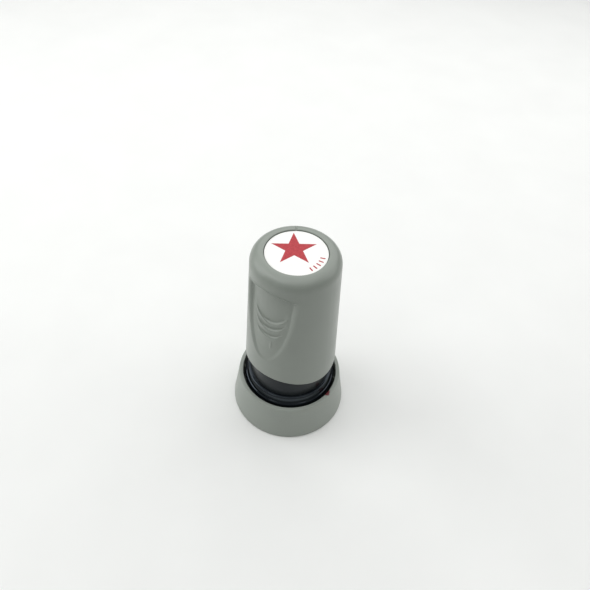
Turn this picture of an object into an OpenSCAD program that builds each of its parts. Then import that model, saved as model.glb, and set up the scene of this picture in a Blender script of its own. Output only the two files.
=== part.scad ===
// Round pre-inked star stamp: a spring-loaded grip over a black skirt, standing in its cap.
// Millimetres. +Z runs up the stamp's axis, z = 0 is the plane that the cap stands on,
// and the two finger grips face -Y and +Y. Radii grow outwards from the star, and the
// ink felt takes up the height that is left.

/* [Overall] */
// Height of the whole stamp in its cap
total_h = 66.8; // [56:0.2:82]
// Diameter of the circle round the star, as stamped
star_d = 15.875; // [13:0.005:20]

/* [Cap] */
// Height of the cap's upper rim
cap_h = 13.3; // [11:0.1:16]
// How far the cap's foot flares out past its rim, a side
cap_flare = 2.05; // [1.4:0.05:4]
// Thickness of the cap's upper rim
rim_wall = 1.25; // [0.9:0.05:2]
// Thickness of the cap's floor plate and of the cup under it
cap_wall = 1.2; // [0.8:0.1:2]
// Height of the cap's floor plate above the table
cap_floor_lift = 0.8; // [0.4:0.1:1.6]
// Depth of the pocket under the die
cap_pocket_h = 4.5; // [3:0.1:5.5]
// Gap between the cap's bore and the skirt's foot, bridged by the ribs
cap_gap = 0.7; // [0.4:0.05:1]
// Number of retaining ribs inside the cap
cap_ribs = 6; // [3:1:12]

/* [Skirt] */
// Height of the straight part of the foot
foot_h = 6.4; // [5:0.1:8]
// Height of the foot's sloping shoulder
foot_slope_h = 2.5; // [1.5:0.1:4]
// How far the foot stands out past its shoulder
foot_step = 1.13; // [0.5:0.01:2]
// Thickness of the skirt's walls
skirt_wall = 1.2; // [0.9:0.1:1.6]
// How far the guide neck is set in from the skirt
neck_step = 2.05; // [1.6:0.05:2.4]
// Length of the guide neck inside the grip
neck_h = 12; // [8:0.5:14]
// Thickness of the web that carries the spring
web_t = 1.6; // [1:0.1:3]

/* [Grip] */
// How far the grip presses down
stroke = 6.5; // [4:0.1:8]
// Taper of the grip, in degrees a side
grip_draft = 2.2; // [0:0.1:2.6]
// Thickness of the grip's thin lower wall
grip_wall = 1.3; // [0.8:0.1:1.6]
// Radius of the rounded crown
crown_r = 3.6; // [2.4:0.1:4.4]
// Width of the flat ring round the label
crown_land = 0.3; // [0.1:0.05:1]
// Rise of the arched lower edge between its low and high points
arch_rise = 3; // [0.5:0.1:5]
// Thickness of the top wall under the plug
top_wall = 1.5; // [1:0.1:3]

/* [Finger grips] */
// Width of a finger recess
recess_w = 17.2; // [10:0.1:18]
// Height of a finger recess
recess_h = 28.9; // [24:0.1:31]
// Radius of the recess's upper corners
recess_corner = 1.2; // [0.8:0.1:4]
// Distance from the stamp's top to the recess
recess_drop = 5.2; // [4.6:0.1:8]
// Depth of the recess at its top
recess_depth = 1.2; // [0.8:0.1:1.4]
// Distance from the recess's top to the first press ledge
ledge_drop = 13.2; // [6:0.1:15]
// Height between the press ledges
ledge_pitch = 2.8; // [2:0.1:4]
// Number of press ledges
ledges = 3; // [1:1:4]

/* [Plug and label] */
// Thickness of the plug's disc
plug_t = 1.3; // [1:0.1:2]
// Thickness of the paper label
label_t = 0.2; // [0.1:0.05:0.4]
// Radius of the refill port and of the post's bore
port_r = 3.5; // [3:0.1:3.7]

/* [Die] */
// Depth of the star's relief
relief_h = 1.5; // [1.2:0.1:2]
// Thickness of the die's base
die_t = 2; // [1.5:0.1:3]
// How far the die passes the foot when the grip is pressed home
die_proud = 0.3; // [0.1:0.1:0.6]
// Width of the die's flange, which its ring holds
die_flange = 0.9; // [0.6:0.05:1.4]
// Thickness of the die holder's lower wall
holder_wall = 0.75; // [0.6:0.05:1.4]
// Thickness of the die ring
ring_t = 0.9; // [0.7:0.05:1.4]
// Height of the die ring
ring_h = 6; // [4:0.1:9]

/* [Spring] */
// Height of the return spring at rest
spring_h = 28.2; // [25:0.1:32]
// Wire diameter of the return spring
wire_d = 1; // [0.6:0.05:1.2]
// Number of open turns
spring_turns = 7; // [5:1:9]
// Gap between the spring and the guide neck around it
spring_gap = 1.4; // [0.8:0.05:1.8]

/* [Fits] */
// Radial gap between the grip's neck bore and the skirt's neck
neck_gap = 0.1; // [0.05:0.01:0.1]
// Gap left between the skirt and the grip round it when the grip is pressed home
skirt_gap = 0.1; // [0.1:0.05:0.4]
// Gap between the die ring and the foot's bore
foot_gap = 0.87; // [0.4:0.01:1.4]
// Radial gap between pieces that are put together by hand
loose_gap = 0.1; // [0.05:0.01:0.2]
// Gap between pieces that stop against each other
stop_gap = 0.1; // [0.05:0.01:0.2]

/* [Hidden] */
$fn = 96;
over = 1;                 // how far a cutter runs past what it cuts
edge_gap = 0.3;           // left between the pressed grip and the shoulder or neck

grey = "#9aa39b";
black = "#1b2026";
white = "#f7f8f6";
ink_red = "#b8323c";

// Heights from the table up: cap, foot and the grip's lower edge
floor_top = cap_floor_lift + cap_wall;
seat_z = floor_top + cap_pocket_h;              // the foot stands here
foot_top = seat_z + foot_h;
step_h = 0.5;                                   // small step above the foot's slope
shoulder_z = foot_top + foot_slope_h + step_h;
rim_low = shoulder_z + stroke + edge_gap;
rim_high = rim_low + arch_rise;

// Heights from the top down: label, plug, spring and die holder
label_drop = 0.3;                               // the label lies below the crown's top
label_top = total_h - label_drop;
plug_top = label_top - label_t;
plug_seat = plug_top - plug_t;
ceiling = plug_seat - top_wall;
spring_play = 0.05;                             // at each end of the spring
web_top = ceiling - spring_h - 2 * spring_play;
web_low = web_top - web_t;
neck_top = web_top + neck_h;
bore_step = web_top + stroke + edge_gap;        // the grip's bore narrows above this
holder_top = web_low - stop_gap;
holder_lid = 1.5;
felt_top = holder_top - holder_lid - stop_gap;

// Heights of the die, which the pressed grip carries just past the foot
die_face = seat_z + stroke - die_proud;
base_low = die_face + relief_h;
die_back = base_low + die_t;
plate_t = 1;
plate_top = die_back + plate_t;
ring_lip = 1;
ring_low = base_low - ring_lip;

// Radii from the star outwards
star_gap = 0.4;                                 // between the star and the ring round it
opening_r = star_d / 2 + star_gap;
die_r = opening_r + die_flange;
felt_r = die_r - 0.65;
holder_r = die_r + holder_wall;
ring_r = holder_r + loose_gap + ring_t;
foot_bore_r = ring_r + foot_gap;
draft = tan(grip_draft);
press_gap = skirt_gap + draft * stroke;         // at rest, so that skirt_gap is left when pressed
function skirt_r(z) = foot_bore_r + skirt_wall - draft * (z - shoulder_z);
function bore_r(z) = skirt_r(z) + press_gap;
function grip_r(z) = bore_r(z) + grip_wall;
slope_r = skirt_r(shoulder_z) + 0.6;            // top of the foot's slope
foot_r = slope_r + foot_step;
cap_bore_r = foot_r + cap_gap;
cap_rim_r = cap_bore_r + rim_wall;
cap_base_r = cap_rim_r + cap_flare;
pocket_r = foot_bore_r + 0.3;

// Radii inside the grip
neck_r = skirt_r(web_top) - neck_step;
neck_bore_r = neck_r + neck_gap;
coil_r = neck_r - skirt_wall - spring_gap - wire_d / 2;
post_r = port_r + 1.5;
crown_z = total_h - crown_r;
crown_x = grip_r(crown_z) - crown_r;
plug_pocket_r = crown_x - crown_land;
plug_r = plug_pocket_r - loose_gap;

// Seal rings, in grooves on the holder's stem and on the plug's stopper
seal_r = 0.3;
seal_play = 0.02;                               // round a seal ring in its groove and its bore
seal_mid_r = port_r - seal_r - seal_play;
stem_r = port_r - loose_gap;
groove_r = seal_mid_r - seal_r - seal_play;
groove_h = 2 * seal_r + 0.1;
channel_r = 1.7;
stem_len = 10;
stem_seal_z = holder_top + stem_len - 2;
stopper_len = 5;
stopper_seal_z = plug_seat - stopper_len + 1.5;

// Finger recess
recess_top = total_h - recess_drop;
recess_low = recess_top - recess_h;
ledge_low = recess_top - ledge_drop;            // lowest point of the highest ledge
ledge_r = 7;
ledge_rise = 2;                                 // a ledge curves up this far, then runs level
ledge_step = 0.25;                              // each ledge is this much shallower than the last

notch_angle = 128;                              // where the crown has its pry notch
notch_w = 0.6;
notch_len = 1.9;
notch_deep = 1;
star_inner = 0.4;                               // inner corners of a star, as a share of its points

// Points on an arc in the XY plane.
function arc(cx, cy, r, a0, a1, steps = 12) =
    [for (i = [0 : steps]) let (a = a0 + (a1 - a0) * i / steps) [cx + r * cos(a), cy + r * sin(a)]];

// A five-pointed star with one point towards +Y.
module star(r) {
    polygon([for (i = [0 : 9]) let (a = 90 + i * 36, q = i % 2 == 0 ? r : r * star_inner)
             [q * cos(a), q * sin(a)]]);
}

// A cylinder from z0 to z1, the base of most bores and cutters.
module drum(r, z0, z1) {
    translate([0, 0, z0]) cylinder(r = r, h = z1 - z0);
}

// ---------------------------------------------------------------- cap

module cap_shell() {
    edge = 0.6;                                 // radius of the rounded foot
    lead = 0.3;                                 // chamfer on the rim
    foot_band = 1.5;                            // width of the ring that stands on the table
    rib_w = 1;
    rib_drop = 1.2;                             // the ribs end this far below the foot's top
    sink = 0.2;                                 // the ribs run into the wall and the seat
    cup_r = pocket_r + cap_wall;
    cup_top = seat_z - cap_wall;
    function flare(z) = cap_base_r - cap_flare * (z - edge) / (cap_h - edge);
    color(grey) {
        rotate_extrude() difference() {
            polygon(concat(
                [[0, cap_floor_lift], [cup_r, cap_floor_lift], [cup_r, cup_top],
                 [flare(cup_top) - foot_band, cup_top], [cap_base_r - foot_band, 0]],
                arc(cap_base_r - edge, edge, edge, -90, 0, 6),
                [[cap_rim_r, cap_h - lead], [cap_rim_r - lead, cap_h], [0, cap_h]]));
            polygon([[0, floor_top], [pocket_r, floor_top], [pocket_r, seat_z], [cap_bore_r, seat_z],
                     [cap_bore_r, cap_h - lead], [cap_bore_r + lead, cap_h + 0.001],
                     [cap_bore_r + lead, cap_h + over], [0, cap_h + over]]);
        }
        // Short ribs grip the skirt's foot
        for (i = [0 : cap_ribs - 1]) rotate([0, 0, (i + 0.5) * 360 / cap_ribs]) intersection() {
            translate([foot_r + loose_gap, -rib_w / 2, seat_z - sink])
                cube([cap_gap, rib_w, foot_h - rib_drop]);
            drum(cap_bore_r + sink, seat_z - sink, cap_h);
        }
    }
}

// ---------------------------------------------------------------- skirt

module skirt_sleeve() {
    bevel = 0.3;
    bulge = 0.25;                               // the foot's slope is drawn as two cones
    slot_w = 2;
    web_bore_r = post_r + 0.3;
    color(black) difference() {
        rotate_extrude() polygon([
            [foot_bore_r, seat_z], [foot_r - bevel, seat_z], [foot_r, seat_z + bevel],
            [foot_r, foot_top], [foot_r - bulge, foot_top + foot_slope_h / 2],
            [slope_r, foot_top + foot_slope_h], [slope_r - 0.1, shoulder_z],
            [skirt_r(shoulder_z), shoulder_z], [skirt_r(web_top), web_top],
            [neck_r, web_top], [neck_r, neck_top],
            [neck_r - skirt_wall, neck_top], [neck_r - skirt_wall, web_top],
            [web_bore_r, web_top], [web_bore_r, web_low],
            [skirt_r(web_low) - skirt_wall, web_low], [foot_bore_r, foot_top]]);
        // Slots for the grip's two keys
        for (side = [0, 180]) rotate([0, 0, side])
            translate([neck_r - skirt_wall - over, -slot_w / 2, web_top + 1])
                cube([skirt_wall + 2 * over, slot_w, neck_h]);
    }
}

// ---------------------------------------------------------------- grip housing

// The recess's outline, in a plane that touches the grip: two rounded corners over half an ellipse.
module recess_outline() {
    half_w = recess_w / 2;
    corner_z = recess_top - recess_corner;
    polygon(concat(
        arc(half_w - recess_corner, corner_z, recess_corner, 0, 90, 6),
        arc(recess_corner - half_w, corner_z, recess_corner, 90, 180, 6),
        [for (a = [186 : 6 : 354]) [half_w * cos(a), corner_z + (corner_z - recess_low) * sin(a)]]));
}

// The part of the recess above a ledge: an arc that curves upwards to both sides, then runs level.
module above_ledge(z) {
    translate([0, z + ledge_r]) circle(r = ledge_r);
    translate([-recess_w, z + ledge_rise]) square([2 * recess_w, 2 * recess_h]);
}

// Everything outside a cone that lies depth below the grip's surface.
module outside(depth) {
    low = rim_low - over;
    high = total_h + over;
    difference() {
        drum(2 * grip_r(low), rim_low, total_h);
        translate([0, 0, low])
            cylinder(r1 = grip_r(low) - depth, r2 = grip_r(high) - depth, h = high - low);
    }
}

// One finger recess, facing -Y: its floor steps outwards below each ledge.
module finger_recess() {
    for (i = [0 : ledges]) intersection() {
        rotate([90, 0, 0]) linear_extrude(height = 2 * grip_r(rim_low)) intersection() {
            recess_outline();
            above_ledge(i == ledges ? recess_low - 2 * ledge_r : ledge_low - i * ledge_pitch);
        }
        outside(recess_depth - i * ledge_step);
    }
}

module housing_barrel() {
    low = rim_low - over;                       // the arch cuts the barrel off above this
    edge_r = grip_r(rim_low);
    arch_r = (pow(edge_r, 2) + pow(arch_rise, 2)) / (2 * arch_rise);
    key_w = 1.6;
    key_deep = 0.9;
    key_low = web_top + stroke + 1.2;
    color(grey) difference() {
        union() {
            difference() {
                rotate_extrude() polygon(concat(
                    [[0, low], [grip_r(low), low]],
                    arc(crown_x, crown_z, crown_r, 0, 90, 10),
                    [[0, total_h]]));
                translate([0, 0, low - over])
                    cylinder(r1 = bore_r(low - over), r2 = bore_r(bore_step), h = bore_step - low + over);
                drum(neck_bore_r, low - over, ceiling);
            }
            // Hollow post: it takes the holder's stem, and refill ink runs down it
            drum(post_r, holder_top, ceiling + over / 2);
            // Keys that stop the skirt turning
            for (side = [0, 180]) rotate([0, 0, side])
                translate([neck_bore_r - key_deep, -key_w / 2, key_low])
                    cube([key_deep + 0.3, key_w, ceiling - key_low + 0.2]);
        }
        drum(port_r, holder_top - over, total_h);
        drum(plug_pocket_r, plug_seat, total_h + over);
        // Pry notch in the crown
        rotate([0, 0, notch_angle]) translate([plug_pocket_r - over, -notch_w / 2, total_h - notch_deep])
            cube([over + notch_len, notch_w, notch_deep + over]);
        // Arched lower edge
        translate([0, 0, rim_high - arch_r]) rotate([90, 0, 0])
            cylinder(r = arch_r, h = 4 * edge_r, center = true, $fn = 200);
        for (side = [0, 180]) rotate([0, 0, side]) finger_recess();
    }
}

// ---------------------------------------------------------------- die and ink

// A stem from z0 to z1 with a groove for a seal ring.
module grooved_stem(z0, z1, seal_z) {
    difference() {
        drum(stem_r, z0, z1);
        difference() {
            drum(stem_r + over, seal_z - groove_h / 2, seal_z + groove_h / 2);
            drum(groove_r, seal_z - groove_h, seal_z + groove_h);
        }
    }
}

module seal_ring(z) {
    color(black) translate([0, 0, z]) rotate_extrude() translate([seal_mid_r, 0]) circle(r = seal_r, $fn = 32);
}

module die_holder() {
    color(white) difference() {
        union() {
            drum(holder_r, base_low, holder_top);
            grooved_stem(holder_top - over / 2, holder_top + stem_len, stem_seal_z);
        }
        drum(felt_r + loose_gap, base_low - over, felt_top + stop_gap);
        drum(die_r + loose_gap, base_low - over, plate_top);
        drum(channel_r, felt_top, holder_top + stem_len + over);
    }
}

module neck_seal_ring() seal_ring(stem_seal_z);

module ink_felt() {
    color(ink_red) drum(felt_r, plate_top, felt_top);
}

// Perforated plate that keeps the die flat and lets the ink through.
module backing_plate() {
    hole_r = 0.6;
    hole_pitch = 3;
    color(white) difference() {
        drum(die_r, die_back, plate_top);
        drum(hole_r, die_back - over, plate_top + over);
        for (row = [1 : 2], i = [0 : 6 * row - 1]) rotate([0, 0, i * 60 / row])
            translate([hole_pitch * row, 0, 0]) drum(hole_r, die_back - over, plate_top + over);
    }
}

module star_die() {
    color(ink_red) {
        drum(die_r, base_low, die_back);
        translate([0, 0, die_face]) linear_extrude(height = relief_h + die_t / 2) star(star_d / 2);
    }
}

// Snaps over the holder's lower end and holds the die in by its flange.
module die_ring() {
    color(black) difference() {
        drum(ring_r, ring_low, ring_low + ring_h);
        drum(holder_r + loose_gap, base_low, ring_low + ring_h + over);
        drum(opening_r, ring_low - over, base_low + over);
    }
}

// ---------------------------------------------------------------- return spring

// A closed-end compression spring, swept along its helix.
module return_spring() {
    sides = 8;
    per_turn = 24;
    wire_r = wire_d / 2;
    low = web_top + spring_play + wire_r;
    high = low + spring_h - wire_d;
    turns = spring_turns + 2;
    steps = turns * per_turn;
    pitch = (high - low - 2 * wire_d) / spring_turns;
    // The end turns lie one wire apart, the rest are open.
    function rise(t) = t < 1 ? low + t * wire_d
                     : t > turns - 1 ? high - (turns - t) * wire_d
                     : low + wire_d + (t - 1) * pitch;
    points = [for (i = [0 : steps], j = [0 : sides - 1])
        let (t = i / per_turn, a = 360 * t, b = 360 * j / sides, q = coil_r + wire_r * cos(b))
        [q * cos(a), q * sin(a), rise(t) + wire_r * sin(b)]];
    function at(i, j) = i * sides + j % sides;
    faces = concat(
        [[for (j = [0 : sides - 1]) at(0, j)]],
        [for (i = [0 : steps - 1], j = [0 : sides - 1])
            [at(i, j), at(i + 1, j), at(i + 1, j + 1), at(i, j + 1)]],
        [[for (j = [sides - 1 : -1 : 0]) at(steps, j)]]);
    color("silver") polyhedron(points, faces, convexity = 10);
}

// ---------------------------------------------------------------- plug and label

// Disc with a stopper: it closes the refill port and carries the label.
module index_plug() {
    color(grey) union() {
        drum(plug_r, plug_seat, plug_top);
        grooved_stem(plug_seat - stopper_len, plug_seat + plug_t / 2, stopper_seal_z);
    }
}

module plug_seal_ring() seal_ring(stopper_seal_z);

module index_label() {
    color(white) drum(plug_r - loose_gap, plug_top, label_top);
}

cap_shell();
skirt_sleeve();
housing_barrel();
die_holder();
neck_seal_ring();
ink_felt();
backing_plate();
star_die();
die_ring();
return_spring();
index_plug();
plug_seal_ring();
index_label();
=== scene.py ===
# %% [markdown]
# # A spring-loaded star stamp
#
# The object is a round stamp that inks itself: a grey plastic grip slides on a black skirt, and the
# whole thing stands in a flared cap. A CAD model already fixes every size and every joint, so this
# script only gives it its looks. Loading the model first means that each new surface can be worked
# out from the sizes of the part that it stands for.

# %% Load the frame
import math

import bmesh
import bpy
import numpy as np
from mathutils import Matrix, Vector


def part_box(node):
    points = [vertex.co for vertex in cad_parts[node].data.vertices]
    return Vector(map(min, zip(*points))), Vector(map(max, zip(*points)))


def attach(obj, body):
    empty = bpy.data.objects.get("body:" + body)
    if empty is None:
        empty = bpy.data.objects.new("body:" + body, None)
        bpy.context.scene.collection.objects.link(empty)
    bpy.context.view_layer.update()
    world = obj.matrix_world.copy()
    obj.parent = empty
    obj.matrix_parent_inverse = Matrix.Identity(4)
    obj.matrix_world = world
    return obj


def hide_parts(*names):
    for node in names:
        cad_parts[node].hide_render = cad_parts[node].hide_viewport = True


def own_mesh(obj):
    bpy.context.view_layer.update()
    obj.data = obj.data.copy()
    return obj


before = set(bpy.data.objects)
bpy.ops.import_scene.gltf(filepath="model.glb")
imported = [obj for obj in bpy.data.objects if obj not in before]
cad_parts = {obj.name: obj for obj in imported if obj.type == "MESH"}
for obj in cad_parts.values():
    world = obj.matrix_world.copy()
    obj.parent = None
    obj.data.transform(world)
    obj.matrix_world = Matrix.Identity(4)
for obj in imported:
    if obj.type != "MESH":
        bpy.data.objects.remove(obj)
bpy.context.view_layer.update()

# %% [markdown]
# ## Sizes
#
# The outlines below are drawn in millimetres, because the walls and fillets of a moulding are easy to
# think of that way. Heights and radii are read off the CAD parts. The few sizes that a part's box
# doesn't show, such as the thickness of a wall, are written here once.

# %% Sizes in millimetres
MM = 0.001


def corners(node):
    """The lowest and highest corner of a CAD part, in millimetres."""
    low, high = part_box(node)
    return np.array(low) / MM, np.array(high) / MM


cap_high = corners("cap_shell")[1]
skirt_low, skirt_high = corners("skirt_sleeve")
grip_low, grip_high = corners("housing_barrel")
plug_low, plug_high = corners("index_plug")
label_low, label_high = corners("index_label")
spring_low, spring_high = corners("return_spring")
holder_high = corners("die_holder")[1]
ring_high = corners("die_ring")[1]

draft = math.tan(math.radians(2.2))   # the mould's taper, so that the grip slips off its core
stroke = 6.5
skirt_wall = 1.2
grip_wall = 1.3
slide_gap = 0.1         # between the sleeve and the grip's bore when the grip is pressed
die_gap = 0.87          # round the die's ring in the foot
spring_play = 0.05      # above and below the spring

foot_r = skirt_high[0]
foot_bore_r = ring_high[0] + die_gap
seat_z = skirt_low[2]
foot_top = seat_z + 6.4
shoulder_z = foot_top + 3.0
rim_z = grip_low[2]
crown_z = grip_high[2]
rim_r = (foot_bore_r + skirt_wall + slide_gap + draft * stroke + grip_wall
         - draft * (rim_z - shoulder_z))
web_top = spring_low[2] - spring_play
ceiling_z = spring_high[2] + spring_play
print(f"grip: radius {rim_r:.2f} at z {rim_z:.1f}, crown at z {crown_z:.1f}; foot radius {foot_r:.2f}")

# %% [markdown]
# ## From numbers to a mesh
#
# Almost every piece here is round, so one way of building serves them all. A list of corners in the
# half-plane (radius, height) is softened with fillets, carried round the axis as a grid of points, and
# handed to Blender as quads. A mesh made this way has clean loops, so smooth shading works without a
# single modifier, and the shape can still change with the angle, which a lathe can't do.

# %% Fillets and support points


def filleted(outline, closed=True, steps=6):
    """Rounds the corners of an outline whose rows are (radius, height, fillet).

    At a corner with unit directions u and v to its neighbours and an angle 2a between them, the arc
    touches both sides at fillet / tan(a) from the corner, and its centre lies on the bisector at
    fillet / sin(a). The points between the two touching points are a spherical blend of their radii.
    """
    outline = np.asarray(outline, float)
    points = []
    count = len(outline)
    for i, (r, z, size) in enumerate(outline):
        here = np.array([r, z])
        end = not closed and i in (0, count - 1)
        if end or size <= 0:
            points.append(here)
            continue
        u = outline[i - 1, :2] - here
        v = outline[(i + 1) % count, :2] - here
        u, v = u / np.hypot(*u), v / np.hypot(*v)
        half = math.acos(np.clip(u @ v, -1, 1)) / 2
        centre = here + (u + v) / np.hypot(*(u + v)) * size / math.sin(half)
        start, stop = here + u * size / math.tan(half) - centre, here + v * size / math.tan(half) - centre
        swing = math.pi - 2 * half
        for k in np.linspace(0, 1, max(2, round(steps * swing / (math.pi / 2)) + 1)):
            points.append(centre + (math.sin((1 - k) * swing) * start + math.sin(k * swing) * stop)
                          / math.sin(swing))
    return np.array(points)


def supported(points, closed=True, guard=0.12, longest=2.0):
    """Adds points to the straight stretches of an outline.

    A point guard away from each end keeps the shading of a flat face flat right up to its fillet, and
    no stretch stays longer than longest.
    """
    after = np.roll(points, -1, axis=0)
    made = []
    for i, (a, b) in enumerate(zip(points, after)):
        made.append(a)
        if not closed and i == len(points) - 1:
            break
        length = np.hypot(*(b - a))
        if length > 3 * guard:
            pieces = max(1, math.ceil((length - 2 * guard) / longest))
            marks = guard + (length - 2 * guard) * np.arange(pieces + 1) / pieces
            made.extend(a + (b - a) * (m / length) for m in marks)
    return np.array(made)


# %% Grids and skins


def turned(profile, angles):
    """Carries a profile round the axis: point (i, j) is profile point i turned by angle j."""
    r, z = profile[:, 0, None], profile[:, 1, None]
    return np.stack([r * np.cos(angles), r * np.sin(angles), z + 0 * angles], axis=-1)


def skin(name, grids, around=True, ring=True):
    """Makes one mesh object from grids of points in millimetres, as quads between neighbours.

    around joins each grid's last column to its first, and ring its last row to its first. Points that
    fall together, as at a pole, are merged, so the surface is closed.
    """
    points, faces, first = [], [], 0
    for grid in grids:
        rows, columns = grid.shape[:2]
        index = first + np.arange(rows * columns).reshape(rows, columns)
        if ring:
            index = np.vstack([index, index[:1]])
        if around:
            index = np.hstack([index, index[:, :1]])
        quads = [index[:-1, :-1], index[:-1, 1:], index[1:, 1:], index[1:, :-1]]
        faces.append(np.stack(quads, axis=-1).reshape(-1, 4))
        points.append(grid.reshape(-1, 3))
        first += rows * columns
    mesh = bpy.data.meshes.new(name)
    mesh.from_pydata(np.vstack(points) * MM, [], np.vstack(faces), shade_flat=False)
    work = bmesh.new()
    work.from_mesh(mesh)
    bmesh.ops.remove_doubles(work, verts=work.verts, dist=1e-7)
    work.to_mesh(mesh)
    work.free()
    piece = bpy.data.objects.new(name, mesh)
    bpy.context.scene.collection.objects.link(piece)
    print(f"{name}: {len(mesh.vertices)} points, {len(mesh.polygons)} faces")
    return piece


def place(piece, material, body, slot, *nodes):
    """Gives a finished piece its material and its body, and hides the CAD parts it stands for; slot is not
    used.
    """
    piece.data.materials.clear()
    piece.data.materials.append(material)
    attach(piece, body)
    if nodes:
        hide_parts(*nodes)
    return piece


def smooth(x):
    """The S-shaped step 3x^2 - 2x^3, flat below 0 and above 1."""
    x = np.clip(x, 0, 1)
    return x * x * (3 - 2 * x)


def columns(spacing, dense=()):
    """Angles round the circle, in radians: evenly spaced, with extra ones listed in degrees."""
    angles = np.concatenate([np.arange(0, 360, spacing), *[np.atleast_1d(d) % 360 for d in dense]])
    angles = np.unique(np.round(angles, 4))
    return np.radians(angles)


# %% [markdown]
# ## One helper for the node trees
#
# All materials are built from nodes that read Object coordinates, which are metres here, so the size
# of a pattern can be stated as a real size. Colours are given as sRGB hex, the way a paint shop or a
# web page gives them, and one function turns them into the linear values that Cycles works with.

# %% Colours and nodes


def colour(code):
    """Linear RGBA of an sRGB hex code: ((c + 0.055) / 1.055) ^ 2.4 above the short straight part."""
    c = np.array([int(code[i:i + 2], 16) for i in (1, 3, 5)]) / 255
    linear = np.where(c <= 0.04045, c / 12.92, ((c + 0.055) / 1.055) ** 2.4)
    return (*linear, 1.0)


def add(tree, kind, inputs=(), **options):
    """Adds one node: options are its settings, and inputs maps a socket to a value or an output."""
    made = tree.nodes.new(kind)
    for key, value in options.items():
        setattr(made, key, value)
    for key, value in dict(inputs).items():
        if isinstance(value, bpy.types.NodeSocket):
            tree.links.new(value, made.inputs[key])
        else:
            made.inputs[key].default_value = value
    return made


def new_material(name):
    """An empty node material, its tree, and the Object coordinates that its patterns read."""
    material = bpy.data.materials.new(name)
    material.use_nodes = True
    tree = material.node_tree
    tree.nodes.clear()
    place_of = add(tree, "ShaderNodeTexCoord").outputs["Object"]
    return material, tree, place_of


def mixed(tree, factor, first, second):
    """A mix of two colours, the first where the factor is 0 and the second where it is 1."""
    return add(tree, "ShaderNodeMix", {"Factor": factor, 6: colour(first), 7: colour(second)},
               data_type="RGBA")


def shade(tree, surface):
    """Connects a shader to a new material output."""
    add(tree, "ShaderNodeOutputMaterial", {"Surface": surface.outputs[0]})


# %% [markdown]
# ## Moulded ABS
#
# The grip, the cap and the plug are ABS, moulded in a tool with a fine spark-eroded finish. That finish
# scatters light a little, so highlights are broad and soft, and the eye reads the plastic as satin.
# The grain is about 0.05 mm, too fine to show, so it is drawn ten times coarser and very shallow. A
# second, slow pattern a few millimetres wide stands for sink and flow in the moulding: it moves the
# gloss and the tone by a few per cent, which keeps a large plain wall from looking like paint.

# %% Grey ABS
GRAIN = 0.5 * MM
FLOW = 7 * MM


def abs_plastic(name, base, shadow, rough, grain_depth, tint="#FFFFFF"):
    """Satin ABS: base and shadow are the two ends of its slow change of tone."""
    material, tree, at = new_material(name)
    flow = add(tree, "ShaderNodeTexNoise", {"Vector": at, "Scale": 1 / FLOW, "Detail": 3.0})
    tone = mixed(tree, flow.outputs["Fac"], shadow, base)
    gloss = add(tree, "ShaderNodeMapRange", {"Value": flow.outputs["Fac"], "From Min": 0.3, "From Max": 0.7,
                                             "To Min": rough - 0.04, "To Max": rough + 0.04})
    grain = add(tree, "ShaderNodeTexNoise", {"Vector": at, "Scale": 1 / GRAIN, "Detail": 2.0})
    bump = add(tree, "ShaderNodeBump", {"Height": grain.outputs["Fac"], "Strength": 0.25,
                                        "Distance": grain_depth})
    surface = add(tree, "ShaderNodeBsdfPrincipled", {"Base Color": tone.outputs[2], "IOR": 1.53,
                                                     "Specular Tint": colour(tint),
                                                     "Roughness": gloss.outputs[0],
                                                     "Normal": bump.outputs[0]})
    shade(tree, surface)
    return material, tree, tone, surface


def polish_below(tree, surface, level):
    """Makes everything below a height shine: its gloss and its gleam change over a tenth of a mm."""
    at = add(tree, "ShaderNodeSeparateXYZ", {0: tree.nodes["Texture Coordinate"].outputs["Object"]})
    for socket, low, high in [("Roughness", 0.10, 0.2), ("Specular IOR Level", 0.75, 0.28)]:
        value = add(tree, "ShaderNodeMapRange", {"Value": at.outputs["Z"], "From Min": level * MM,
                                                 "From Max": (level + 0.1) * MM, "To Min": low,
                                                 "To Max": high})
        tree.links.new(value.outputs[0], surface.inputs[socket])


grey_abs = abs_plastic("moulded_abs_grey", "#8F968E", "#898F88", 0.33, 0.02 * MM)[0]
# sliding has dulled the black sleeve, while the foot keeps the polish of its mould
black_abs, tree, tone, surface = abs_plastic("moulded_abs_black", "#0A0E13", "#070A0E", 0.15, 0.002 * MM,
                                             tint="#C0CFDC")
polish_below(tree, surface, shoulder_z)
print("ABS grain", GRAIN / MM, "mm, flow", FLOW / MM, "mm")

# %% [markdown]
# The cap is the same ABS, a shade lighter, but red ink has crept over its rim where the foot was put
# back wet. The stain is a mask round one point on the rim. The mask's edge is ragged, because ink wicks
# along the grain of the moulding.

# %% Cap plastic with an ink stain
STAIN_TURN = math.radians(-1)
STAIN_INWARD = 3.4      # from the cap's foot radius to the spot on the rim
STAIN_SIZE = 1.05 * MM


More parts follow.
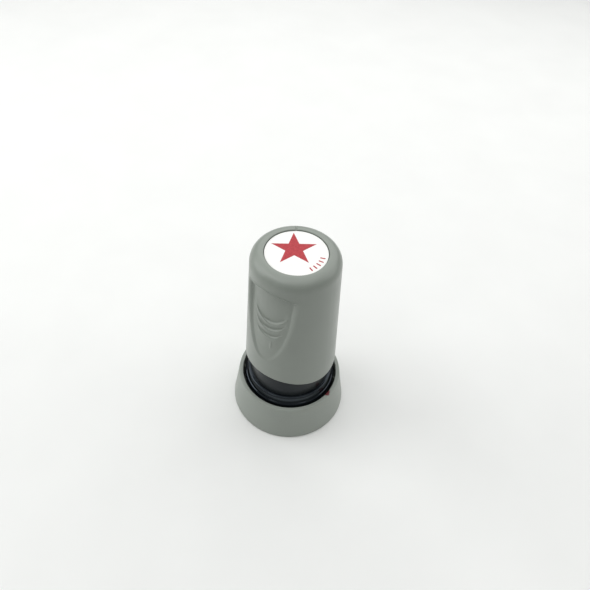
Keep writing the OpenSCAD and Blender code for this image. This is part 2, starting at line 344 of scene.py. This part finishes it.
def stained_abs():
    """Grey ABS with a ragged spot of dried red ink on the rim."""
    material, tree, tone, surface = abs_plastic("moulded_abs_grey_inked", "#989F97", "#929891", 0.36,
                                                0.02 * MM)
    at = tree.nodes["Texture Coordinate"].outputs["Object"]
    r, z = (cap_high[0] - STAIN_INWARD) * MM, cap_high[2] * MM
    spot = (r * math.cos(STAIN_TURN), r * math.sin(STAIN_TURN), z)
    off = add(tree, "ShaderNodeVectorMath", {0: at, 1: spot}, operation="SUBTRACT")
    sized = add(tree, "ShaderNodeVectorMath", {0: off.outputs[0], 1: (1 / STAIN_SIZE,) * 3},
                operation="MULTIPLY")
    reach = add(tree, "ShaderNodeVectorMath", {0: sized.outputs[0]}, operation="LENGTH")
    ragged = add(tree, "ShaderNodeTexNoise", {"Vector": at, "Scale": 1 / (0.9 * MM), "Detail": 3.0})
    edge = add(tree, "ShaderNodeMath", {0: ragged.outputs["Fac"], 1: 1.1, 2: reach.outputs["Value"]},
               operation="MULTIPLY_ADD")
    mask = add(tree, "ShaderNodeMapRange", {"Value": edge.outputs[0], "From Min": 1.45, "From Max": 1.75,
                                            "To Min": 1.0, "To Max": 0.0})
    inked = add(tree, "ShaderNodeMix", {"Factor": mask.outputs[0], 6: tone.outputs[2],
                                        7: colour("#620C18")}, data_type="RGBA")
    tree.links.new(inked.outputs[2], surface.inputs["Base Color"])
    return material


cap_abs = stained_abs()

# %% [markdown]
# ## Paper, ink and the inner pieces
#
# The label is uncoated paper: a bright, fully rough surface with a faint fibre. The star on it is
# printed with the stamp's own ink, so its colour is uneven, a little darker where it pooled. Inside are
# felt, microporous rubber, milky polypropylene that the ink has tinted, rubber seals and drawn wire.

# %% Paper and print


def paper():
    """Uncoated white paper: fibres about 0.2 mm across lift the surface and tint it very slightly."""
    material, tree, at = new_material("uncoated_paper")
    fibre = add(tree, "ShaderNodeTexNoise", {"Vector": at, "Scale": 1 / (0.4 * MM), "Detail": 4.0})
    tone = mixed(tree, fibre.outputs["Fac"], "#F1F1EE", "#FBFBF9")
    bump = add(tree, "ShaderNodeBump", {"Height": fibre.outputs["Fac"], "Strength": 0.2,
                                        "Distance": 0.01 * MM})
    shade(tree, add(tree, "ShaderNodeBsdfPrincipled", {"Base Color": tone.outputs[2], "Roughness": 0.75,
                                                       "IOR": 1.5, "Normal": bump.outputs[0]}))
    return material


def printed_ink():
    """Red stamp ink on paper: blotches about half a millimetre wide where it soaked in unevenly."""
    material, tree, at = new_material("red_ink_on_paper")
    blot = add(tree, "ShaderNodeTexNoise", {"Vector": at, "Scale": 1 / (0.7 * MM), "Detail": 5.0,
                                            "Roughness": 0.7})
    ramp = add(tree, "ShaderNodeMapRange", {"Value": blot.outputs["Fac"], "From Min": 0.35,
                                            "From Max": 0.65})
    tone = mixed(tree, ramp.outputs[0], "#A62E36", "#C03F46")
    shade(tree, add(tree, "ShaderNodeBsdfPrincipled", {"Base Color": tone.outputs[2], "Roughness": 0.6,
                                                       "IOR": 1.48}))
    return material


def grained(name, dark, light, size, rough, depth, metal=0.0, ior=1.5):
    """A plain material whose tone and surface vary together with one grain of the given size in mm."""
    material, tree, at = new_material(name)
    grain = add(tree, "ShaderNodeTexNoise", {"Vector": at, "Scale": 1 / (size * MM), "Detail": 4.0})
    tone = mixed(tree, grain.outputs["Fac"], dark, light)
    bump = add(tree, "ShaderNodeBump", {"Height": grain.outputs["Fac"], "Strength": 0.5,
                                        "Distance": depth * MM})
    shade(tree, add(tree, "ShaderNodeBsdfPrincipled", {"Base Color": tone.outputs[2], "Roughness": rough,
                                                       "Metallic": metal, "IOR": ior,
                                                       "Normal": bump.outputs[0]}))
    return material


label_paper = paper()
star_ink = printed_ink()
milky_pp = grained("moulded_polypropylene", "#D9D2CC", "#E9E6E0", 4.0, 0.4, 0.01)
ink_felt = grained("inked_wool_felt", "#5E0A14", "#9A1C28", 0.6, 0.95, 0.15)
die_rubber = grained("microporous_rubber_inked", "#8E1722", "#B02A35", 0.5, 0.55, 0.02)
seal_rubber = grained("moulded_nitrile_rubber", "#0D0D0E", "#1A1A1B", 0.8, 0.5, 0.005)
spring_wire = grained("drawn_spring_steel", "#8F9092", "#C2C3C5", 0.3, 0.28, 0.004, metal=1.0)

# %% [markdown]
# ## The cap
#
# The stamp stands in a flared cup. Its wall flares out to the table, its rim is rounded to a thin lip,
# and inside it a ledge carries the foot while six short ribs grip it. The ribs are part of the same
# surface: near six angles the bore simply comes in by 0.6 mm, with extra columns at each rib's sides so
# that they stay crisp.

# %% The cap
cap_bore_r = foot_r + 0.7
rim_out_r = cap_bore_r + 1.25
base_r = cap_high[0]
foot_band = 1.5         # width of the flat ring that the cap stands on
cap_wall = 1.2
floor_low = 0.8
floor_top = floor_low + cap_wall
pocket_r = foot_bore_r + 0.3
cup_r = pocket_r + cap_wall
cup_top = seat_z - cap_wall
rib_angles = 30 + 60 * np.arange(6)
rib_top = foot_top - 1.4
flare_r = base_r - (base_r - rim_out_r) * (cup_top - 0.6) / (cap_high[2] - 0.6)   # at the cup's top
cap_outline = [
    (0, floor_low, 0), (cup_r, floor_low, 0.3), (cup_r, cup_top, 0.3),
    (flare_r - foot_band, cup_top, 0.3), (base_r - foot_band, 0, 0.2), (base_r, 0, 0.6),
    (rim_out_r, cap_high[2], 0.35), (cap_bore_r, cap_high[2], 0.2), (cap_bore_r, rib_top, 0),
    (cap_bore_r, rib_top - 0.3, 0), (cap_bore_r, seat_z, 0.15), (pocket_r, seat_z, 0.15),
    (pocket_r, floor_top, 0.4), (0, floor_top, 0)]
cap_profile = supported(filleted(cap_outline, closed=False), closed=False)
rib_sides = np.array([1.65, 1.8, 1.95, 2.1])
cap_turns = columns(2.5, [np.concatenate([a - rib_sides, a + rib_sides]) for a in rib_angles])
cap_grid = turned(cap_profile, cap_turns)

# a rib is where the angle is within 0.5 mm of one of six, on the bore between the ledge and rib_top
off = np.degrees(cap_turns)[None, :] - rib_angles[:, None]
off = np.abs((off + 180) % 360 - 180).min(0)
on_bore = np.abs(cap_profile[:, 0] - cap_bore_r) < 0.01
fade = smooth((rib_top - cap_profile[:, 1]) / 0.3) * on_bore
inset = 0.6 * fade[:, None] * (1 - smooth((off - 1.65) / 0.45))[None, :]
cap_grid[..., :2] *= (1 - inset / np.maximum(cap_profile[:, :1], 1))[..., None]
place(skin("cap_moulding", [cap_grid], ring=False), cap_abs, "cap", "grey_plastic", "cap_shell")

# %% [markdown]
# ## The skirt
#
# Only its foot shows: a black ring with a sloping shoulder that ends in a small sharp step, where the
# light draws a thin bright line. The rest slides inside the grip: a sleeve, a web that carries the
# spring, and a guide neck with two slots for the grip's keys. A slot is made by dropping the neck's top
# down to the web between four extra columns.

# %% The skirt


def skirt_r(z):
    """Outer radius of the sleeve, which tapers with the grip round it."""
    return foot_bore_r + skirt_wall - draft * (z - shoulder_z)


slope_r = skirt_r(shoulder_z) + 0.6
neck_r = skirt_r(web_top) - 2.05
web_low = web_top - 1.6
web_bore_r = 5.3
skirt_outline = [
    (foot_bore_r, seat_z, 0.2), (foot_r, seat_z, 0.3), (foot_r, foot_top, 0.3),
    (foot_r - 0.35, foot_top + 0.65, 0.1), (foot_r - 0.6, foot_top + 0.8, 0.2),
    (slope_r + 0.1, foot_top + 2.3, 0.05), (slope_r + 0.1, shoulder_z - 0.05, 0.42),
    (skirt_r(shoulder_z), shoulder_z, 0.05), (skirt_r(web_top), web_top, 0.3), (neck_r, web_top, 0.2),
    (neck_r, web_top + 1, 0), (neck_r, skirt_high[2], 0.3), (neck_r - skirt_wall, skirt_high[2], 0.3),
    (neck_r - skirt_wall, web_top + 1, 0), (neck_r - skirt_wall, web_top, 0.2), (web_bore_r, web_top, 0.1),
    (web_bore_r, web_low, 0.1), (skirt_r(web_low) - skirt_wall, web_low, 0.3), (foot_bore_r, foot_top, 0)]
skirt_profile = supported(filleted(skirt_outline))
slot_half = math.degrees(math.asin(1 / neck_r))
slot_marks = np.array([-0.1, 0.1]) + slot_half
skirt_turns = columns(2.5, [np.concatenate([slot_marks, -slot_marks]) + side for side in (0, 180)])
skirt_grid = turned(skirt_profile, skirt_turns)
in_slot = np.abs(np.sin(skirt_turns)) < math.sin(math.radians(slot_half))
neck_rows = skirt_profile[:, 1] > web_top + 1
skirt_grid[..., 2] = np.where(neck_rows[:, None] & in_slot[None, :], web_top + 1, skirt_grid[..., 2])
place(skin("skirt_moulding", [skirt_grid]), black_abs, "skirt", "black_plastic", "skirt_sleeve")

# %% [markdown]
# ## The grip
#
# This is the piece that the hand knows. It is a tapered barrel with a rounded crown, an arched lower
# edge, and two shield-shaped finger recesses. One way to make the recesses would be booleans, but their
# rounded borders and shallow ledges would then need bevels on messy edges. Here the barrel is a height
# field instead: every point of its outer wall asks how deep the recess is at its place, and moves in by
# that much. The grid is fine only where a recess is.

# %% The finger recess as a height field
recess_right, recess_left = 9.2, 8.7
recess_top = crown_z - 5.2
recess_line = recess_top - 2.8          # the widest line, where the sides begin to close
recess_bottom = recess_line - 26.1
top_arch = 0.028                        # the top edge falls by this times x^2
corner = 0.5
border = 0.5
ledge_heights = recess_top - np.array([18.65, 15.8, 13.1])
ledge_middle, ledge_curve = 0.3, 7.0
floor_curve = 13.0      # the floor is flatter than the barrel, so it is deepest in its middle
rib_x, rib_low, rib_high = 2.05, 38.6, 41.2     # a short upright rib under the ledges


def inside_recess(x, z):
    """How far a point lies inside the shield's outline, negative outside.

    Two distances are taken: down from the arched top, z_top - z, and in from the side, w - |x| above
    the widest line and q (1 - q) / |grad q| of a half ellipse below it. Where both are small, the
    distance c - hypot(c - a, c - b) rounds the corner between them. The side borders are broader than
    the top's, 3.6 times on the right and 2.2 on the left, so the sideways distance is divided by that.
    """
    top = recess_top - top_arch * x ** 2 - z
    deep = recess_line - recess_bottom
    below = np.minimum(z - recess_line, 0)
    half = np.where(x > 0, recess_right, recess_left)
    q = np.hypot(x / half, below / deep)
    slope = np.maximum(np.hypot(x / half ** 2, below / deep ** 2), 1e-9)
    side = np.where(z > recess_line, half - np.abs(x), np.where(q > 0.3, q * (1 - q) / slope, 3.0))
    side = side / np.where(x > 0, 3.6, 2.2 + 1.4 * smooth(1 + x / 3))
    rounded = corner - np.hypot(corner - top, corner - side)
    return np.where((top < corner) & (side < corner), rounded, np.minimum(top, side))


def ledge_lift(x):
    """How far the ledges curve upwards at x: an arc that runs level beyond 6 mm from its middle."""
    reach = np.minimum(np.abs(x - ledge_middle), 6.0)
    return ledge_curve - np.sqrt(ledge_curve ** 2 - reach ** 2)


def middle_depth(x, t):
    """Depth that the floor has in its middle, at height t measured down the curve of the ledges.

    Going down, the floor falls inwards and each ledge brings it back out with a slope that faces up
    and catches the light. Towards its two ends a ledge fades into the plain slope beneath them all.
    """
    low, high = recess_bottom, recess_top
    plain = np.interp(t, [low, low + 5, ledge_heights[0], ledge_heights[2] + 3, high - 4, high],
                      [0.20, 0.62, 1.00, 1.60, 1.7, 1.6])
    knots, depths = [low, low + 5], [0.20, 0.62]
    for height, lip, crease in zip(ledge_heights, [0.68, 0.88, 1.10], [1.26, 1.52, 1.76]):
        knots += [height, height + 0.42]
        depths += [lip, crease]
    stepped = np.interp(t, knots + [high - 4, high], depths + [1.7, 1.6])
    reach = np.interp(t, ledge_heights[[0, 2]], [4.3, 5.9]) - 0.4 * (x < 0)
    fade = 1 - smooth((np.abs(x - ledge_middle) - reach + 1.2) / 2.2)
    return plain + (stepped - plain) * fade * (1 - 0.5 * smooth((ledge_middle - x) / 5))


def floor_depth(x, r, t):
    """Depth of the floor measured along the radius r.

    The floor is the curve y = Y - x^2 / 2F, with Y = r - middle depth and F the floor's own radius. On
    a radius that leans by the sine c = x / r and cosine s, it meets r' s + r'^2 c^2 / 2F = Y, and the
    root of that is r' = 2 Y / (s + sqrt(s^2 + 2 c^2 Y / F)).
    """
    c = x / r
    s = np.sqrt(1 - c ** 2)
    reach = r - middle_depth(x, t)
    return r - 2 * reach / (s + np.sqrt(s ** 2 + 2 * c ** 2 * reach / floor_curve))


def recess_depth(x, z, r, t):
    """Depth of the recess: the floor, or the rounded border where that is shallower.

    The border is a quarter of an ellipse, D (1 - sqrt(1 - (d / w)^2)), with d the distance inside the
    outline, so it starts flush with the barrel and steepens to a wall. A soft minimum,
    (a + b - hypot(a - b, k)) / 2, blends it into the floor. Along the top the edge stands proud by a
    fifth of a millimetre, a low bell h exp(-((d + m) / w)^2) just outside the outline.
    """
    blend = 0.10
    below_top = recess_top - top_arch * x ** 2 - z
    bead = 0.19 * np.exp(-((below_top + 0.28) / 0.22) ** 2) * (1 - smooth((np.abs(x) - 7.2) / 1.5))
    d = np.clip(inside_recess(x, z), 0, border * 0.999)
    wall = 2.3 * (1 - np.sqrt(1 - (d / border) ** 2))
    wall = np.where(d >= border * 0.998, 5.0, wall)
    floor = np.maximum(floor_depth(x, r, t), 0)
    soft = 0.5 * (floor + wall - np.hypot(floor - wall, blend))
    rest = 0.5 * (floor - np.hypot(floor, blend))
    rib = (0.25 * (1 - smooth((np.abs(x - rib_x) - 0.12) / 0.22)) * smooth((z - rib_low) / 0.5)
           * (1 - smooth((z - rib_high) / 0.25)))
    return np.where(d > 0, soft - rest - rib, 0) - bead


# %% The grip's surface
disc_low = plug_high[2] - 1.3           # underside of the plug's disc, the floor of its pocket
port_low = holder_high[2] - 10
grip_bore_step = web_top + stroke + 0.3
neck_bore_r = neck_r + 0.1
key_low = web_top + stroke + 1.2
post_r, port_r = 5.0, 3.5
pocket_top_r = plug_high[0] + 0.1
rise = 3.0              # the lower edge is this much higher under a recess than between them
rise_r = (rim_r ** 2 + rise ** 2) / (2 * rise)
rise_reach = 9.0        # above this height over the rim, the rows are level again
key_out, key_half = 0.9, 0.78
notch_deep, notch_half = 0.35, 0.18


def grip_r(z):
    """Radius of the grip's tapered outside."""
    return rim_r - draft * (z - rim_z)


crown_fillet = 3.6
wall_top = crown_z - 3.46       # where the crown's fillet leaves the wall
wall_rows = np.unique(np.round(np.concatenate([
    np.arange(rim_z + 0.4, recess_bottom - 0.6, 1.1),
    np.arange(recess_bottom - 0.6, wall_top - 0.3, 0.5),
    np.arange(recess_bottom - 0.4, recess_bottom + 1.8, 0.2),
    np.arange(recess_top - 3.2, min(recess_top + 0.6, wall_top), 0.15),
    *[h + np.array([-0.3, -0.12, 0.0, 0.1, 0.2, 0.3, 0.42, 0.55, 0.75]) for h in ledge_heights]]), 3))
wall_rows = wall_rows[np.concatenate([[True], np.diff(wall_rows) > 0.045])]     # no near twins
outside = np.stack([grip_r(wall_rows), wall_rows], axis=1)
crown = filleted([
    (grip_r(rim_z), rim_z, 0), (grip_r(crown_z), crown_z, crown_fillet), (pocket_top_r, crown_z, 0.12),
    (pocket_top_r, plug_low[2], 0)], closed=False, steps=12)[1:-1]
inner = filleted([
    (pocket_top_r, crown_z, 0), (pocket_top_r, disc_low, 0.1), (port_r, disc_low, 0.1),
    (port_r, port_low, 0.2), (post_r, port_low, 0.2), (post_r, ceiling_z, 0.3),
    (neck_bore_r, ceiling_z, 0.3), (neck_bore_r, key_low, 0), (neck_bore_r, grip_bore_step, 0.1),
    (grip_r(grip_bore_step) - grip_wall, grip_bore_step, 0.2), (rim_r - grip_wall, rim_z, 0.3),
    (rim_r, rim_z, 0.35), (grip_r(wall_rows[0]), wall_rows[0], 0)], closed=False)[1:-1]
inner = supported(inner, closed=False, longest=8)
grip_profile = np.vstack([outside, supported(crown, closed=False), inner])
print("grip rows:", len(grip_profile), "of them on the wall:", len(wall_rows))

fine = np.arange(-45, 45.01, 0.86)
key_marks = np.array([-4.7, -4.4, 4.4, 4.7])
notch_turn = 128.0
notch_marks = notch_turn + np.array([-2.0, -1.6, 1.6, 2.0])
grip_turns = columns(4.0, [fine + 90, fine - 90, key_marks, key_marks + 180, notch_marks])
grip_grid = turned(grip_profile, grip_turns)
r, t = grip_profile[:, :1], grip_profile[:, 1:]
n_wall = len(wall_rows)
on_wall = np.arange(len(grip_profile))[:, None] < n_wall
x = r * np.cos(grip_turns) * np.where(np.sin(grip_turns) > 0, -1, 1)    # to the right of a recess

# the lower edge arches up under the recesses, as if a cylinder along Y had cut it: sqrt(R^2 - x^2)
arch = np.sqrt(rise_r ** 2 - (rim_r * np.cos(grip_turns)) ** 2) - (rise_r - rise)
near_rim = np.clip(1 - (t - rim_z) / rise_reach, 0, 1) * (np.abs(r - rim_r) < 3)
low_part = near_rim * arch[None, :]

# rows near the ledges bend with them, so that each ledge lies along one row
window = smooth((t - recess_bottom - 2) / 7) * (1 - smooth((t - ledge_heights[2] - 1.0) / 7)) * on_wall
facing = 1 - smooth((np.abs(x) - 9.5) / 2)
lift = window * ledge_lift(x) * facing
height = t + low_part + lift
radius = r - draft * (low_part + lift) * (r > neck_bore_r + 0.5)
radius = radius - np.where(on_wall, recess_depth(np.clip(x, -0.99 * r, 0.99 * r), height, r, t), 0)

# two keys stand in from the neck's bore, and a pry notch crosses the crown
beside = np.abs(np.sin(grip_turns)) * neck_bore_r
on_neck = (np.abs(r - neck_bore_r) < 0.02) & (t >= key_low - 0.01)
radius = radius - key_out * on_neck * (1 - smooth((beside - key_half) / 0.08))[None, :]
across = np.abs(np.sin(grip_turns - math.radians(notch_turn))) * 10.0
same_side = np.cos(grip_turns - math.radians(notch_turn)) > 0
on_crown = (t > crown_z - 2.0) & (r > pocket_top_r - 0.01) & (r < 12.0) & ~on_wall
cut = notch_deep * (1 - smooth((across - notch_half) / 0.14)) * same_side
height = height - on_crown * cut[None, :] * (1 - smooth((r - 10.4) / 0.8))

grip_grid[..., 0] = radius * np.cos(grip_turns)
grip_grid[..., 1] = radius * np.sin(grip_turns)
grip_grid[..., 2] = height
place(skin("grip_moulding", [grip_grid]), grey_abs, "grip", "grey_plastic", "housing_barrel")

# %% [markdown]
# ## Plug, label and print
#
# The disc in the crown is a plug: its stopper closes the way to the ink, and it is pried out at the
# notch. A paper label is stuck on it. The star on the label is a sample of what the stamp prints, stuck
# on a little off centre, with five plain marks on an arc beside it. The print has to be its own material,
# so it is a film 0.015 mm thick, each shape a fan of triangles round its middle.

# %% Plug and label
stem_r, groove_r = 3.4, 2.84
stopper_low = plug_low[2]
seal_z = stopper_low + 1.5
groove_low, groove_top = seal_z - 0.35, seal_z + 0.35
plug_outline = [
    (0, stopper_low, 0), (stem_r, stopper_low, 0.4), (stem_r, groove_low, 0.05),
    (groove_r, groove_low, 0.05), (groove_r, groove_top, 0.05), (stem_r, groove_top, 0.05),
    (stem_r, disc_low, 0.1), (plug_high[0], disc_low, 0.15),
    (plug_high[0], plug_high[2], 0.1), (0, plug_high[2], 0)]
turns = columns(3.0)
plug_grid = turned(supported(filleted(plug_outline, closed=False), closed=False), turns)
place(skin("plug_moulding", [plug_grid], ring=False), grey_abs, "plug", "grey_plastic", "index_plug")

label_r = label_high[0]
label_outline = [(0, label_low[2], 0), (label_r, label_low[2], 0.03), (label_r, label_high[2], 0.08),
                 (0, label_high[2], 0)]
label_grid = turned(supported(filleted(label_outline, closed=False), closed=False), turns)
place(skin("paper_label", [label_grid], ring=False), label_paper, "plug", "label_paper", "index_label")

# %% The print on the label
FILM = 0.015


def film(outline, middle):
    """A thin closed shape: its middle and outline underneath, then its outline and middle on top."""
    flat = np.broadcast_to(middle, outline.shape)
    low, high = label_high[2], label_high[2] + FILM
    rows = [(flat, low), (outline, low), (outline, high), (flat, high)]
    return np.stack([np.column_stack([p, np.full(len(p), z)]) for p, z in rows])


def star_outline(middle, size, turn):
    """A five-pointed star: ten points that alternate between size and 0.385 of it."""
    a = math.radians(turn) + np.pi / 5 * np.arange(10)
    reach = np.where(np.arange(10) % 2 == 0, size, 0.385 * size)
    return middle + np.column_stack([reach * np.cos(a), reach * np.sin(a)])


def mark_outline(turn, distance, length, width):
    """A short bar with round ends that points at the label's centre."""
    a = np.linspace(0, 2 * np.pi, 16, endpoint=False)
    bar = np.column_stack([np.cos(a) * width / 2 + np.sign(np.cos(a)) * (length - width) / 2,
                           np.sin(a) * width / 2])
    c, s = math.cos(math.radians(turn)), math.sin(math.radians(turn))
    return np.column_stack([(bar[:, 0] + distance) * c - bar[:, 1] * s,
                            (bar[:, 0] + distance) * s + bar[:, 1] * c])


star_middle = np.array([-1.39, 0.72])
grids = [film(star_outline(star_middle, 6.6, 128.4), star_middle)]
for turn in np.linspace(-21, 22, 5):
    outline = mark_outline(turn, 7.35, 1.5, 0.42)
    grids.append(film(outline, outline.mean(0)))
label_print = place(skin("label_print", grids, ring=False), star_ink, "plug", "label_paper")
for polygon in label_print.data.polygons:
    polygon.use_smooth = False

# %% [markdown]
# ## The return spring
#
# A coil spring is a circle carried along a helix. Its first and last turns lie flat, one wire apart, so
# that it stands square on the web. When the grip is pressed the coil has to shorten. Here the piece
# rides with the skirt and gets a mesh of its own, and nothing in this script squashes it.

# %% The return spring
wire = 1.0
open_turns = 7
coil_r = spring_high[0] - wire / 2


def coil():
    """Rows follow the wire and columns go round it.

    The centre line's height rises one wire in the first and last turn, and evenly between them. Each
    end closes to a point at the middle of the wire.
    """
    total = open_turns + 2
    low, high = spring_low[2] + wire / 2, spring_high[2] - wire / 2
    along = np.linspace(0, total, total * 40 + 1)
    z = np.interp(along, [0, 1, total - 1, total], [low, low + wire, high - wire, high])
    thick = np.full(len(along), wire / 2)
    along, z, thick = (np.concatenate([v[:1], v, v[-1:]]) for v in (along, z, thick))
    thick[[0, -1]] = 0
    a = (2 * np.pi * along)[:, None]
    b = 2 * np.pi * np.arange(12) / 12
    q = coil_r + thick[:, None] * np.cos(b)
    return np.stack([q * np.cos(a), q * np.sin(a), z[:, None] + thick[:, None] * np.sin(b)], axis=-1)


spring = place(skin("return_spring_wire", [coil()[:, ::-1]], ring=False), spring_wire, "skirt",
               "spring_steel", "return_spring")
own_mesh(spring)

# %% [markdown]
# ## The CAD parts that stay
#
# The holder, felt, plate, die, ring and seals are plain shapes that the CAD already has right, so they
# keep their meshes and only get their materials.

# %% Materials for the CAD parts
kept = {"die_holder": milky_pp, "backing_plate": milky_pp, "ink_felt": ink_felt, "star_die": die_rubber,
        "die_ring": black_abs, "neck_seal_ring": seal_rubber, "plug_seal_ring": seal_rubber}
for name, material in kept.items():
    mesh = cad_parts[name].data
    mesh.materials.clear()
    mesh.materials.append(material)
print("kept:", ", ".join(kept))

# %% [markdown]
# ## Floor, light and camera
#
# A small object on a white sheet by a window is lit from everywhere, most of all from above and behind.
# So the sky is a weak even white and one broad lamp hangs straight overhead, which lights the sheet and
# the label. A second stands behind and lifts the far half of the crown, and two small ones stand at the
# sides to lift the flanks. A narrow one to the left, like the top pane of a window, brightens the front
# of the crown. The barrel's front gets almost nothing of its own, and that is what makes it look round.

# %% Floor
REACH = 3.0          # metres from the stamp to the sheet's edge
floor_mesh = bpy.data.meshes.new("floor")
floor_mesh.from_pydata([(-REACH, -REACH, 0), (REACH, -REACH, 0), (REACH, REACH, 0), (-REACH, REACH, 0)],
                       [], [(0, 1, 2, 3)])
floor = bpy.data.objects.new("floor", floor_mesh)
bpy.context.scene.collection.objects.link(floor)
sheet = grained("white_card", "#EDEEEC", "#F4F5F3", 30.0, 0.8, 0.01)
floor_mesh.materials.append(sheet)

world = bpy.data.worlds.new("soft_sky")
world.use_nodes = True
sky = world.node_tree.nodes["Background"]
sky.inputs["Color"].default_value = colour("#F4F6F5")
sky.inputs["Strength"].default_value = 0.17
bpy.context.scene.world = world

# %% Lamps
CAMERA_TURN = 35.0           # degrees round the stamp from its front


def lamp(name, turn, lift, distance, size, power):
    """A square soft lamp, turn degrees round from the camera and lift degrees above the table."""
    data = bpy.data.lights.new(name, "AREA")
    data.shape = "RECTANGLE"
    data.size, data.size_y = size
    data.energy = power
    made = bpy.data.objects.new(name, data)
    bpy.context.scene.collection.objects.link(made)
    a, e = math.radians(turn + CAMERA_TURN), math.radians(lift)
    back = Vector((math.sin(a) * math.cos(e), -math.cos(a) * math.cos(e), math.sin(e)))
    made.matrix_world = Matrix.LocRotScale(Vector((0, 0, 0.03)) + back * distance,
                                           back.to_track_quat("Z", "Y"), None)


lamp("overhead", 0, 82, 0.75, (0.9, 0.8), 2.85)
lamp("behind", 170, 42, 0.45, (0.7, 0.4), 1.05)
lamp("left_side", -100, 34, 0.6, (0.4, 0.5), 1.45)
lamp("right_side", 100, 32, 0.6, (0.4, 0.5), 0.7)
lamp("window", -62, 58, 0.6, (0.3, 0.08), 0.24)

# %% [markdown]
# The camera looks down on the stamp from its front right, and aims a little above it, so the stamp
# stands just below the middle of the view. Its place is given as an orbit round the middle of the base,
# and its aim as three small turns from looking straight at that point.

# %% Camera
camera_data = bpy.data.cameras.new("camera")
camera_data.sensor_width = 36.0
camera_data.lens = 36.61
camera_data.clip_start = 0.01
camera = bpy.data.objects.new("camera", camera_data)
bpy.context.scene.collection.objects.link(camera)
elevation, distance = 56.40, 0.2141
pan, tilt, roll = -0.10, 9.0, 3.45
orbit = (Matrix.Rotation(math.radians(CAMERA_TURN), 4, "Z")
         @ Matrix.Rotation(math.radians(90 - elevation), 4, "X"))
aim = (Matrix.Rotation(math.radians(pan), 4, "Y") @ Matrix.Rotation(math.radians(tilt), 4, "X")
       @ Matrix.Rotation(math.radians(roll), 4, "Z"))
camera.matrix_world = orbit @ Matrix.Translation((0, 0, distance)) @ aim
bpy.context.scene.camera = camera
bpy.context.scene.view_settings.view_transform = "Standard"
